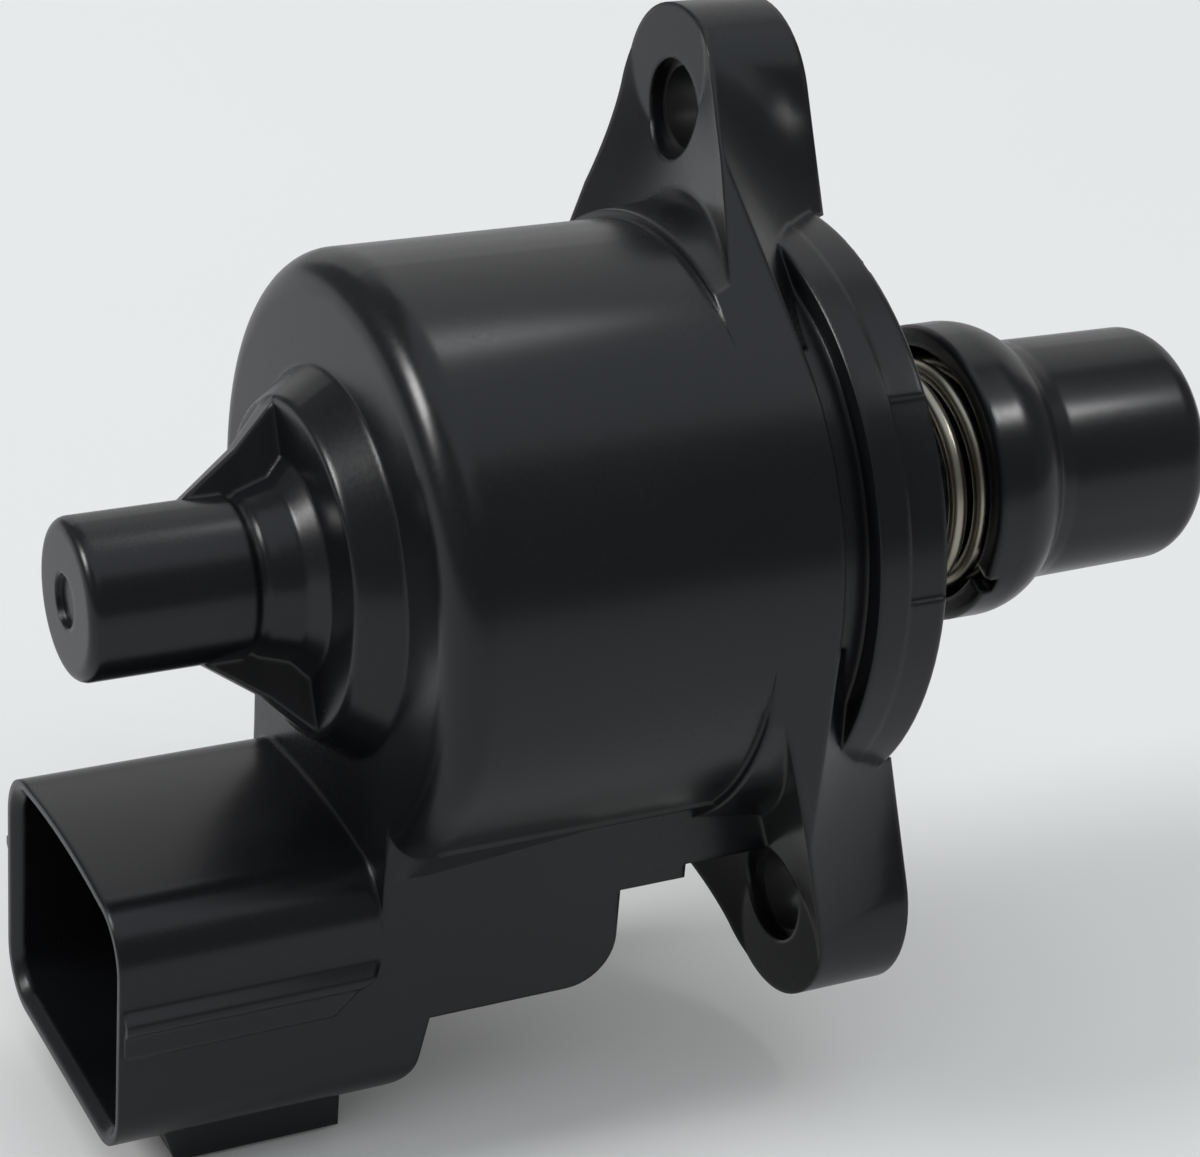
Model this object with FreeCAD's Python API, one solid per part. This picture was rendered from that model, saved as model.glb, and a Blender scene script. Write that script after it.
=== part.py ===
import FreeCAD, Part
import math
import os

# Idle air control valve: a stepper motor that screws a plunger in and out of a bypass air port.
# Millimetres. X is the motor's axis towards the plunger, Z is up, the connector hangs below.
# The origin is on that axis, in the plane of the two ears' mounting faces.

# Flange and ears
SCREW_SPACING = 52.0        # between the two ear holes
EAR_TILT = 26.0             # the ears' line leans this far from upright, top ear to +Y
EAR_TIP_R = 6.9
EAR_ROOT_R = 19.0           # the ears' mounting faces start here, proud of the rim
EAR_THICK = 6.2
EAR_HOLE_R = 3.3
EAR_FLAT_R = 5.1            # the ear's back is flat this far from a point near its tip
EAR_FLAT_OUT = 3.5          # that point lies this far outside the hole
EAR_SLOPE = 0.33            # the back falls away from the flat, per mm
EAR_FILLET_R = 3.0          # between the ear's back and the saddle on the can
SADDLE_X = -12.9            # rear edge of the saddle
SADDLE_RISE = 0.5
SADDLE_LEAN = 0.35          # the saddle's crown over its rear edge
RIM_R = 19.75
RIM_FACE_X = -1.2
RIM_STEP_X = -4.0           # a moulding line round the rim, a hair lower in front
RIM_STEP = 0.12
RIM_EDGE_R = 0.4
RIM_NOTCH = 0.4
RIM_NOTCH_FROM = 47.5       # degrees from the top towards the near side
RIM_NOTCH_TO = 85.0
LIMITER_WALL = 0.55
LIMITER_SINK = 0.9          # the steel sleeve stops short of the ear's back
LIMITER_SPLIT = 0.5

# Motor can
CAN_R = 19.4
CAN_BACK_X = -34.4
CAN_EDGE_R = 2.6
CAN_BORE_R = 17.0
CAN_FLOOR = 3.1
RELIEF_R = 18.3             # groove round the can just behind the flange
RELIEF_WIDTH = 2.3
BOSS_R = 10.6
BOSS_FOOT_R = 12.4
BOSS_HEIGHT = 2.6
DOME_R = 7.0                # the shoulder from which the tail tube springs
DOME_HEIGHT = 2.4
DOME_MID = 0.55             # place of the dome's bend, as a share of its height
DOME_MID_OUT = 0.35         # and how far out it is, as a share of its width
TAIL_FLARE = 0.2            # the tube's foot is this much wider
BOSS_EDGE_R = 0.5
TAIL_R = 5.1
TAIL_END_X = -51.4
TAIL_EDGE_R = 0.8
TAIL_BORE_R = 3.1
TAIL_FLOOR = 1.5
TAIL_DIMPLE_R = 1.7
TAIL_DIMPLE = 0.35
TAIL_GROOVE = 0.25
TAIL_GROOVE_X = -40.5
TAIL_GROOVE_WIDTH = 0.9
FIN_BOTTOM_R = 4.1          # the fins reach this deep into the tube's wall
FIN_STATIONS = (            # along the axis: place, top radius and thickness
    (-43.4, 5.1, 1.1),
    (-39.6, 7.75, 1.5),
    (-37.0, 10.3, 2.4),
    (CAN_BACK_X, 12.2, 3.6),
)

# Connector, open to the rear
PLUG_HALF = 11.0
PLUG_TOP = -16.8
PLUG_CROWN = 0.45
PLUG_BOTTOM = -34.2
PLUG_TOP_R = 4.0
PLUG_BOTTOM_R = 3.6
PLUG_WALL = 1.15
PLUG_LEAD_IN = 0.6          # bevel inside the mouth
PLUG_MOUTH_X = -51.5
PLUG_FLOOR_X = -36.0
PLUG_END_X = -30.7
PLUG_END_LEAN = 1.3
PLUG_END_R = 4.0
NECK_BOTTOM = -27.9
NECK_END_X = -17.6
NECK_END_R = 3.4
SHOULDER_OUT = 2.6
SHOULDER_REAR_OUT = 0.1     # at the can's back the shoulder has all but closed on the neck
SHOULDER_BOTTOM = -14.1
SHOULDER_REAR_FLARE = 3.0   # the neck's sides flare out to the shoulder over this height
SHOULDER_FRONT_FLARE = 0.8
WEB_BOTTOM = -21.1
RAIL_TOP = -22.3
RAIL_OUT = 0.9
RAIL_STEP_OUT = 0.5         # below its ridge the rail is only this proud
RAIL_BEVEL = 0.5
RAIL_RIDGE = 1.5
RAIL_HEIGHT = 3.6
RAIL_START = 0.2
RAIL_END_X = -34.0
RAIL_END_LEAN = 3.5         # its front end leans back this far over its height
LATCH_START_X = -47.7
LATCH_END_X = -35.4
LATCH_HALF = 8.0
LATCH_OUT = 2.8
LATCH_LEAD = 1.1
LATCH_ROOT = 0.5            # the latch is rooted this deep in the wall

# Terminals, two rows of three
PIN_PITCH = 4.6
PIN_WIDTH = 1.5
PIN_THICK = 0.64
PIN_TIP_X = -43.5
PIN_UPPER_Z = -22.4
PIN_LOWER_Z = -26.4
PIN_BEND_R = 1.7            # inside the bend
PIN_FOOT = 0.35             # the rising leg stands this far inside its stack's end plate
PIN_CLEAR = 0.4             # the cup's opening round a pin
PIN_GAP = 0.2               # between the rising leg and the winding

# Front cover
COVER_R = 17.9
COVER_SEAT_X = -4.0
COVER_FACE_X = -1.4
COVER_PLUG_X = -9.0
SPIGOT_R = 11.0
SPIGOT_END_X = 3.0
COVER_EDGE_R = 0.4
SPRING_WELL_R = 8.9
SPRING_WELL_X = -1.6
GUIDE_TUBE_R = 5.6
SEAL_WIRE_R = 0.9
COVER_ROOM_R = 11.2         # hollow behind the bearing, over the rotor's collar
RACE_ROOM_R = 6.8           # so that only the outer race is held
RACE_ROOM = 0.3
FIT_GAP = 0.05              # round the cover

# Plunger and screw
PLUNGER_R = 10.1
PLUNGER_BACK_X = 8.9
PLUNGER_SHOULDER_X = 10.9
PLUNGER_NECK_X = 16.2
PLUNGER_NECK_R = 8.25
PLUNGER_FOOT_X = 14.9       # the rounded shoulder ends here in a sharp corner
PLUNGER_FOOT_R = 8.45
PLUNGER_BULGE = 0.45        # the shoulder stands this much over a straight cone
PLUNGER_TIP_X = 27.6
PLUNGER_TIP_R = 8.1
PLUNGER_TIP_ROUND = 1.9
PLUNGER_WELL_R = 8.7
PLUNGER_WELL_X = 13.0
PLUNGER_CORE_R = 5.6
PLUNGER_EDGE = 0.3          # bevel round the skirt's mouth
PLUNGER_NOTCH_ANGLE = 115.0
PLUNGER_NOTCH_WIDTH = 1.4
PLUNGER_NOTCH_DEPTH = 0.9
PLUNGER_RETRACT = 4.5       # travel from where it is drawn, inwards
PLUNGER_EXTEND = 3.5        # and outwards
SCREW_R = 2.5
SCREW_FLAT = 2.0
SCREW_NOSE_X = 21.5
SCREW_TAIL_BEVEL = 0.4
RUN_GAP = 0.04              # running clearance on the radius
TAIL_ROOM = 0.6             # left behind the screw when it is fully in
THREAD_ROOM = 1.0           # left before the thread meets the cover when it is fully out

# Spring
SPRING_R = 7.35             # to the middle of the wire
SPRING_WIRE_R = 0.6
SPRING_PITCH = 1.9
SPRING_CLOSED = 1.25        # pitch of the closed turn at each end

# Stator, two alike stacks
POLES = 6
YOKE_SHEET = 1.0
YOKE_GAP = 0.05
CLAW_R = 10.7
CLAW_ROOT_ANGLE = 34.0
CLAW_TIP_ANGLE = 16.0
CLAW_SHORT = 1.2
BOBBIN_BORE_R = 11.8
BOBBIN_WALL = 0.7
BOBBIN_FLANGE_R = 15.8
BOBBIN_FLANGE = 0.8
COIL_R = 15.2

# Rotor
MAGNET_R = 10.2
MAGNET_BORE_R = 7.4
MAGNET_SHORT = 1.6
MAGNET_FRONT_GAP = 1.0      # the hub's front shoulder tapers over this length
HUB_JOURNAL_R = 4.0
HUB_COLLAR_R = 5.0
HUB_COLLAR = 0.6
HUB_BACK_GAP = 1.3
JOURNAL_SHORT = 0.5         # the rear journal ends inside its bush
NUT_START_X = -25.0
NUT_END_X = -16.0
HUB_BORE_R = 3.2
BUSH_R = 5.6
BUSH_LENGTH = 4.2

# Ball bearing behind the cover
BEARING_R = 8.0
BEARING_WIDTH = 4.0
BEARING_STEP = 1.3          # the cover's wall behind the bearing
BALL_COUNT = 8
BALL_R = 1.2
BALL_TRACK_R = 6.0
RACE_LAND = 0.8             # half the gap between the races
CAGE_HALF = 0.45
CAGE_WIDTH = 3.2

AXIS = FreeCAD.Vector(1, 0, 0)
CENTRE = FreeCAD.Vector(0, 0, 0)
FAR = 60.0                  # larger than anything cut away

# Places that follow from the sizes above
CAN_FLOOR_X = CAN_BACK_X + CAN_FLOOR
EAR_R = SCREW_SPACING / 2
EAR_BACK_X = -EAR_THICK
RELIEF_START_X = EAR_BACK_X - RELIEF_WIDTH
EAR_FLARE_X = RELIEF_START_X    # behind this the flanks run straight into the can
STACK = (COVER_PLUG_X - CAN_FLOOR_X) / 2
STACK_MID_X = CAN_FLOOR_X + STACK
BEARING_FRONT_X = SPRING_WELL_X - BEARING_STEP
BEARING_BACK_X = BEARING_FRONT_X - BEARING_WIDTH
HUB_FRONT_X = BEARING_BACK_X - HUB_COLLAR
HUB_BACK_X = CAN_FLOOR_X + HUB_BACK_GAP
BUSH_BACK_X = CAN_FLOOR_X - BUSH_LENGTH
SCREW_TAIL_X = TAIL_END_X + TAIL_FLOOR + TAIL_ROOM + PLUNGER_RETRACT
SCREW_THREAD_END_X = BEARING_FRONT_X - THREAD_ROOM - PLUNGER_EXTEND


def point(x, y, z):
    """A point in the valve's frame."""
    return FreeCAD.Vector(x, y, z)


def disc(radius, start_x, end_x):
    """A solid cylinder on the motor's axis."""
    return Part.makeCylinder(radius, end_x - start_x, point(start_x, 0, 0), AXIS)


def ring(inner, outer, start_x, end_x):
    """A plain ring on the motor's axis."""
    return disc(outer, start_x, end_x).cut(disc(inner, start_x, end_x))


def box(start_x, end_x, start_y, end_y, start_z, end_z):
    """A block between two corners."""
    corner = point(start_x, start_y, start_z)
    return Part.makeBox(end_x - start_x, end_y - start_y, end_z - start_z, corner)


def turned(profile):
    """Turns a closed profile of (x, radius) corners round the motor's axis."""
    corners = [point(x, 0, radius) for x, radius in profile]
    face = Part.Face(Part.makePolygon(corners + corners[:1]))
    return face.revolve(CENTRE, AXIS, 360)


def outline(parts):
    """Joins lines and arcs, each given by its two or three points, into a face."""
    edges = []
    for places in parts:
        if len(places) == 2:
            edges.append(Part.LineSegment(*places).toShape())
        else:
            edges.append(Part.Arc(*places).toShape())
    return Part.Face(Part.Wire(edges))


def spun(shape, angle):
    """A copy turned about the motor's axis."""
    copy = shape.copy()
    copy.rotate(CENTRE, AXIS, angle)
    return copy


def round_rings(shape, radius, start_x, end_x, edge_r):
    """Rounds the circular edges of one radius between two stations."""
    edges = []
    for edge in shape.Edges:
        circle = edge.Curve
        if not isinstance(circle, Part.Circle) or abs(circle.Radius - edge_r) > 0.01:
            continue
        if start_x <= circle.Center.x <= end_x:
            edges.append(edge)
    return shape.makeFillet(radius, edges)


def polar(x, radius, angle):
    """A point at an angle from the top towards the near side (-Y)."""
    turn = math.radians(angle)
    return point(x, -radius * math.sin(turn), radius * math.cos(turn))


def wedge(inner, outer, start_x, end_x, from_angle, to_angle):
    """A piece of a ring between two angles from the top towards the near side."""
    middle = (from_angle + to_angle) / 2
    near, far = polar(start_x, inner, from_angle), polar(start_x, outer, from_angle)
    far_end, near_end = polar(start_x, outer, to_angle), polar(start_x, inner, to_angle)
    face = outline([
        (near, far),
        (far, polar(start_x, outer, middle), far_end),
        (far_end, near_end),
        (near_end, polar(start_x, inner, middle), near),
    ])
    return face.extrude(point(end_x - start_x, 0, 0))


def ear_outline(x, tip_angle, foot_half, foot_z):
    """The ear seen along the motor's axis: a round tip and two straight flanks."""
    turn = math.radians(tip_angle)
    side = EAR_TIP_R * math.cos(turn)
    height = EAR_R + EAR_TIP_R * math.sin(turn)
    left, right = point(x, -side, height), point(x, side, height)
    left_foot, right_foot = point(x, -foot_half, foot_z), point(x, foot_half, foot_z)
    return outline([
        (left, point(x, 0, EAR_R + EAR_TIP_R), right),
        (right, right_foot),
        (right_foot, left_foot),
        (left_foot, left),
    ]).OuterWire


def ear():
    """The upper ear before its tilt: parallel in front, flared to the can behind."""
    flare = math.degrees(math.asin((CAN_R - EAR_TIP_R) / EAR_R))
    foot_half = CAN_R * math.cos(math.radians(flare))
    foot_z = CAN_R * math.sin(math.radians(flare))
    front = ear_outline(0, 0, EAR_TIP_R, foot_z)
    back = ear_outline(EAR_FLARE_X, flare, foot_half, foot_z)
    body = Part.makeLoft([front, back], True, True)
    body = body.fuse(Part.Face(back).extrude(point(SADDLE_X - EAR_FLARE_X, 0, 0)))
    centre_z = EAR_R + EAR_FLAT_OUT
    flat_z = centre_z + EAR_FLAT_R
    reach_z = flat_z + EAR_R
    cone = Part.Face(Part.makePolygon([
        point(EAR_BACK_X, 0, centre_z),
        point(EAR_BACK_X, 0, flat_z),
        point(EAR_BACK_X - EAR_SLOPE * EAR_R, 0, reach_z),
        point(1, 0, reach_z),
        point(1, 0, centre_z),
        point(EAR_BACK_X, 0, centre_z),
    ])).revolve(point(0, 0, centre_z), AXIS, 360)
    saddle_r = CAN_R + SADDLE_RISE
    crown_r = saddle_r + SADDLE_LEAN
    fillet_x = EAR_BACK_X - EAR_FILLET_R
    bend = EAR_FILLET_R * math.sqrt(0.5)
    start = point(fillet_x, 0, crown_r)
    end = point(EAR_BACK_X, 0, crown_r + EAR_FILLET_R)
    middle = point(fillet_x + bend, 0, crown_r + EAR_FILLET_R - bend)
    saddle = outline([
        (point(SADDLE_X, 0, CAN_BORE_R), point(SADDLE_X, 0, saddle_r)),
        (point(SADDLE_X, 0, saddle_r), start),
        (start, middle, end),
        (end, point(1, 0, crown_r + EAR_FILLET_R)),
        (point(1, 0, crown_r + EAR_FILLET_R), point(1, 0, CAN_BORE_R)),
        (point(1, 0, CAN_BORE_R), point(SADDLE_X, 0, CAN_BORE_R)),
    ]).revolve(CENTRE, AXIS, 360)
    return body.common(cone.fuse(saddle))


def fin():
    """One web between the tail tube and the can's back, thicker towards its foot."""
    sections = []
    for x, top_r, thick in FIN_STATIONS:
        half = thick / 2
        sections.append(Part.makePolygon([
            point(x, -half, FIN_BOTTOM_R),
            point(x, -half, top_r),
            point(x, half, top_r),
            point(x, half, FIN_BOTTOM_R),
            point(x, -half, FIN_BOTTOM_R),
        ]))
    return Part.makeLoft(sections, True, True)


def plug_section(x, inset):
    """The connector's outline, with a crowned top and rounded corners."""
    half = PLUG_HALF - inset
    top, bottom = PLUG_TOP - inset, PLUG_BOTTOM + inset
    top_r = PLUG_TOP_R - inset
    bottom_r = PLUG_BOTTOM_R - inset
    top_bend = top_r * (1 - math.sqrt(0.5))
    bottom_bend = bottom_r * (1 - math.sqrt(0.5))
    left_top, right_top = point(x, -half + top_r, top), point(x, half - top_r, top)
    left_side, right_side = point(x, -half, top - top_r), point(x, half, top - top_r)
    left_low, right_low = point(x, -half, bottom + bottom_r), point(x, half, bottom + bottom_r)
    left_base, right_base = point(x, -half + bottom_r, bottom), point(x, half - bottom_r, bottom)
    return outline([
        (left_top, point(x, 0, top + PLUG_CROWN), right_top),
        (right_top, point(x, half - top_bend, top - top_bend), right_side),
        (right_side, right_low),
        (right_low, point(x, half - bottom_bend, bottom + bottom_bend), right_base),
        (right_base, left_base),
        (left_base, point(x, -half + bottom_bend, bottom + bottom_bend), left_low),
        (left_low, left_side),
        (left_side, point(x, -half + top_bend, top - top_bend), left_top),
    ])


def side_extrusion(corners, half):
    """A profile of (x, z) corners made as wide as given, both ways from the middle."""
    places = [point(x, -half, z) for x, z in corners]
    return Part.Face(Part.makePolygon(places + places[:1])).extrude(point(0, 2 * half, 0))


def round_cross_edges(shape, radius, x, z):
    """Rounds the edge that crosses the valve at one place."""
    edges = []
    for edge in shape.Edges:
        middle = edge.CenterOfMass
        if abs(middle.x - x) < 0.02 and abs(middle.z - z) < 0.02 and edge.BoundBox.YLength > 1:
            edges.append(edge)
    return shape.makeFillet(radius, edges)


def rail(side):
    """One guide rail along the connector's side wall."""
    wall = side * (PLUG_HALF - PLUG_WALL / 3)
    outer = side * (PLUG_HALF + RAIL_OUT)
    step = side * (PLUG_HALF + RAIL_STEP_OUT)
    start_x = PLUG_MOUTH_X + RAIL_START
    ridge_z = RAIL_TOP - RAIL_RIDGE
    foot_z = RAIL_TOP - RAIL_HEIGHT
    section = Part.Face(Part.makePolygon([
        point(start_x, wall, RAIL_TOP),
        point(start_x, outer, ridge_z + RAIL_BEVEL),
        point(start_x, outer, ridge_z),
        point(start_x, step, ridge_z - RAIL_BEVEL),
        point(start_x, step, foot_z),
        point(start_x, wall, foot_z),
        point(start_x, wall, RAIL_TOP),
    ]))
    bar = section.extrude(point(RAIL_END_X - start_x, 0, 0))
    return bar.common(side_extrusion([
        (start_x, RAIL_TOP),
        (RAIL_END_X, RAIL_TOP),
        (RAIL_END_X - RAIL_END_LEAN, foot_z),
        (start_x, foot_z),
    ], PLUG_HALF + 1))


def shoulder_section(x, out, flare, top):
    """The neck's flare into the shoulder under the can, seen along the axis."""
    outer = PLUG_HALF + out
    return Part.makePolygon([
        point(x, -PLUG_HALF, SHOULDER_BOTTOM - flare),
        point(x, -outer, SHOULDER_BOTTOM),
        point(x, -outer, top),
        point(x, outer, top),
        point(x, outer, SHOULDER_BOTTOM),
        point(x, PLUG_HALF, SHOULDER_BOTTOM - flare),
        point(x, -PLUG_HALF, SHOULDER_BOTTOM - flare),
    ])


def connector():
    """The connector's shroud with the neck that carries it under the can."""
    shroud = plug_section(PLUG_MOUTH_X, 0).extrude(point(PLUG_END_X - PLUG_MOUTH_X, 0, 0))
    limit = side_extrusion([
        (PLUG_MOUTH_X - 1, PLUG_TOP + 2),
        (PLUG_END_X, PLUG_TOP + 2),
        (PLUG_END_X, NECK_BOTTOM),
        (PLUG_END_X - PLUG_END_LEAN, PLUG_BOTTOM),
        (PLUG_MOUTH_X - 1, PLUG_BOTTOM),
    ], PLUG_HALF + 1)
    limit = round_cross_edges(limit, PLUG_END_R, PLUG_END_X - PLUG_END_LEAN, PLUG_BOTTOM)
    shroud = shroud.common(limit)
    neck_start = CAN_BACK_X + CAN_EDGE_R
    inside = -CAN_BORE_R / 2
    neck = box(neck_start - CAN_EDGE_R, NECK_END_X, -PLUG_HALF, PLUG_HALF, NECK_BOTTOM, inside)
    neck = round_cross_edges(neck, NECK_END_R, NECK_END_X, NECK_BOTTOM)
    web = box(NECK_END_X - 1, EAR_BACK_X, -PLUG_HALF, PLUG_HALF, WEB_BOTTOM, inside)
    shoulder = Part.makeLoft([
        shoulder_section(CAN_BACK_X, SHOULDER_REAR_OUT, SHOULDER_REAR_FLARE, inside),
        shoulder_section(neck_start, SHOULDER_OUT, SHOULDER_REAR_FLARE, inside),
        shoulder_section(RELIEF_START_X, SHOULDER_OUT, SHOULDER_FRONT_FLARE, inside),
    ], True, True)
    latch = side_extrusion([
        (LATCH_START_X, PLUG_BOTTOM + LATCH_ROOT),
        (LATCH_START_X + LATCH_LEAD, PLUG_BOTTOM - LATCH_OUT),
        (LATCH_END_X, PLUG_BOTTOM - LATCH_OUT),
        (LATCH_END_X, PLUG_BOTTOM + LATCH_ROOT),
    ], LATCH_HALF)
    body = shroud.multiFuse([neck, shoulder, web, latch, rail(-1), rail(1)])
    hollow = plug_section(PLUG_MOUTH_X, PLUG_WALL).extrude(point(PLUG_FLOOR_X - PLUG_MOUTH_X, 0, 0))
    lead_in = Part.makeLoft([
        plug_section(PLUG_MOUTH_X, PLUG_WALL - PLUG_LEAD_IN).OuterWire,
        plug_section(PLUG_MOUTH_X + PLUG_LEAD_IN, PLUG_WALL).OuterWire,
    ], True, True)
    return body.cut(hollow).cut(lead_in)


def can():
    """The turned form of the moulding: can, boss, tail tube and flange disc."""
    tail_start = CAN_BACK_X - BOSS_HEIGHT
    dome_x = tail_start - DOME_HEIGHT
    groove_start = TAIL_GROOVE_X - TAIL_GROOVE_WIDTH / 2
    groove_end = TAIL_GROOVE_X + TAIL_GROOVE_WIDTH / 2
    outer = turned([
        (TAIL_END_X, 0),
        (TAIL_END_X, TAIL_R),
        (groove_start, TAIL_R),
        (groove_start + TAIL_GROOVE, TAIL_R - TAIL_GROOVE),
        (groove_end - TAIL_GROOVE, TAIL_R - TAIL_GROOVE),
        (groove_end, TAIL_R),
        (dome_x, TAIL_R + TAIL_FLARE),
        (dome_x + DOME_HEIGHT * DOME_MID, TAIL_R + (DOME_R - TAIL_R) * DOME_MID_OUT),
        (tail_start, DOME_R),
        (tail_start, BOSS_R),
        (CAN_BACK_X, BOSS_FOOT_R),
        (CAN_BACK_X, CAN_R),
        (RELIEF_START_X, CAN_R),
        (RELIEF_START_X, RELIEF_R),
        (EAR_BACK_X, RELIEF_R),
        (EAR_BACK_X, RIM_R),
        (RIM_STEP_X, RIM_R),
        (RIM_STEP_X, RIM_R - RIM_STEP),
        (RIM_FACE_X, RIM_R - RIM_STEP),
        (RIM_FACE_X, 0),
    ])
    outer = round_rings(outer, RIM_EDGE_R, RIM_FACE_X - 0.1, RIM_FACE_X + 0.1, RIM_R - RIM_STEP)
    outer = round_rings(outer, CAN_EDGE_R, CAN_BACK_X - 0.1, CAN_BACK_X + 0.1, CAN_R)
    outer = round_rings(outer, TAIL_EDGE_R, TAIL_END_X - 0.1, TAIL_END_X + 0.1, TAIL_R)
    outer = round_rings(outer, BOSS_EDGE_R, tail_start - 0.1, tail_start + 0.1, BOSS_R)
    dimple = disc(TAIL_DIMPLE_R, TAIL_END_X - 1, TAIL_END_X + TAIL_DIMPLE)
    notch = wedge(RIM_R - RIM_NOTCH, RIM_R + 1, RIM_STEP_X, 1, RIM_NOTCH_FROM, RIM_NOTCH_TO)
    return outer.cut(dimple).cut(notch)


def motor_bore():
    """All that the moulding leaves open inside for the motor and the screw."""
    main = disc(CAN_BORE_R, CAN_FLOOR_X, 1)
    bush_seat = disc(BUSH_R, BUSH_BACK_X, CAN_FLOOR_X + 1)
    tail = disc(TAIL_BORE_R, TAIL_END_X + TAIL_FLOOR, BUSH_BACK_X + 1)
    cover_room = disc(COVER_R + FIT_GAP, COVER_SEAT_X, 1)
    ear_roots = disc(EAR_ROOT_R, RIM_FACE_X, 1)
    return main.multiFuse([bush_seat, tail, cover_room, ear_roots])


def terminal(row, place):
    """One flat pin: straight from the connector, then bent up to its winding."""
    across = (place - 1) * PIN_PITCH
    level = (PIN_UPPER_Z, PIN_LOWER_Z)[row]
    leg_x = (CAN_FLOOR_X + YOKE_SHEET, STACK_MID_X + YOKE_SHEET)[row] + PIN_FOOT
    half, side = PIN_THICK / 2, across - PIN_WIDTH / 2
    inner_edge = max(abs(across) - PIN_WIDTH / 2, 0)
    top = -math.sqrt((COIL_R + PIN_GAP) ** 2 - inner_edge ** 2)
    low, high = level - half, level + half
    back, front = leg_x, leg_x + PIN_THICK
    bend_x, bend_z = back - PIN_BEND_R, high + PIN_BEND_R
    outer_r = PIN_BEND_R + PIN_THICK
    outer_bend = outer_r * math.sqrt(0.5)
    inner_bend = PIN_BEND_R * math.sqrt(0.5)
    return outline([
        (point(PIN_TIP_X, side, low), point(bend_x, side, low)),
        (point(bend_x, side, low), point(bend_x + outer_bend, side, bend_z - outer_bend),
         point(front, side, bend_z)),
        (point(front, side, bend_z), point(front, side, top)),
        (point(front, side, top), point(back, side, top)),
        (point(back, side, top), point(back, side, bend_z)),
        (point(back, side, bend_z), point(bend_x + inner_bend, side, bend_z - inner_bend),
         point(bend_x, side, high)),
        (point(bend_x, side, high), point(PIN_TIP_X, side, high)),
        (point(PIN_TIP_X, side, high), point(PIN_TIP_X, side, low)),
    ]).extrude(point(0, PIN_WIDTH, 0))


def housing(terminals):
    """The moulded body: can, ears, tail tube, fins and connector in one piece."""
    body = can().multiFuse([connector()])
    upper = spun(ear(), -EAR_TILT)
    lower = spun(upper, 180)
    fins = [spun(fin(), -EAR_TILT), spun(fin(), 180 - EAR_TILT)]
    body = body.multiFuse([upper, lower] + fins)
    body = body.cut(motor_bore())
    for angle in (-EAR_TILT, 180 - EAR_TILT):
        hole = Part.makeCylinder(EAR_HOLE_R, 1 - SADDLE_X, point(SADDLE_X, 0, EAR_R), AXIS)
        body = body.cut(spun(hole, angle))
    for pin in terminals:
        body = body.cut(pin)
    return body


def limiter(angle):
    """A rolled steel sleeve in an ear's hole, with its open seam."""
    length = EAR_THICK - LIMITER_SINK
    sleeve = Part.makeCylinder(EAR_HOLE_R, length, point(-length, 0, EAR_R), AXIS)
    bore = Part.makeCylinder(EAR_HOLE_R - LIMITER_WALL, FAR, point(-FAR / 2, 0, EAR_R), AXIS)
    seam = box(-FAR / 2, FAR / 2, -LIMITER_SPLIT / 2, LIMITER_SPLIT / 2, EAR_R - EAR_TIP_R, EAR_R)
    return spun(sleeve.cut(bore).cut(seam), angle)


def double_d(radius, flat, start_x, end_x):
    """A round bar with two flats, above and below."""
    return disc(radius, start_x, end_x).common(box(start_x, end_x, -radius, radius, -flat, flat))


def front_cover():
    """The cover with the bearing's seat behind and the spring's well in front."""
    cover = turned([
        (COVER_PLUG_X, 0),
        (COVER_PLUG_X, CAN_BORE_R - FIT_GAP),
        (COVER_SEAT_X, CAN_BORE_R - FIT_GAP),
        (COVER_SEAT_X, COVER_R),
        (COVER_FACE_X, COVER_R),
        (COVER_FACE_X, SPIGOT_R),
        (SPIGOT_END_X, SPIGOT_R),
        (SPIGOT_END_X, 0),
    ])
    cover = round_rings(cover, COVER_EDGE_R, COVER_FACE_X - 0.1, COVER_FACE_X + 0.1, COVER_R)
    cover = round_rings(cover, COVER_EDGE_R, SPIGOT_END_X - 0.1, SPIGOT_END_X + 0.1, SPIGOT_R)
    well = ring(GUIDE_TUBE_R, SPRING_WELL_R, SPRING_WELL_X, SPIGOT_END_X + 1)
    seat = disc(BEARING_R, BEARING_BACK_X, BEARING_FRONT_X)
    room = disc(COVER_ROOM_R, COVER_PLUG_X - 1, BEARING_BACK_X)
    race_room = disc(RACE_ROOM_R, BEARING_BACK_X, BEARING_FRONT_X + RACE_ROOM)
    guide = double_d(SCREW_R + RUN_GAP, SCREW_FLAT + RUN_GAP, COVER_PLUG_X, SPIGOT_END_X + 1)
    for tool in (well, seat, room, race_room, guide):
        cover = cover.cut(tool)
    return cover


def face_seal():
    """The rubber ring round the foot of the spigot."""
    radius = SPIGOT_R + SEAL_WIRE_R
    return Part.makeTorus(radius, SEAL_WIRE_R, point(COVER_FACE_X + SEAL_WIRE_R, 0, 0), AXIS)


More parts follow.
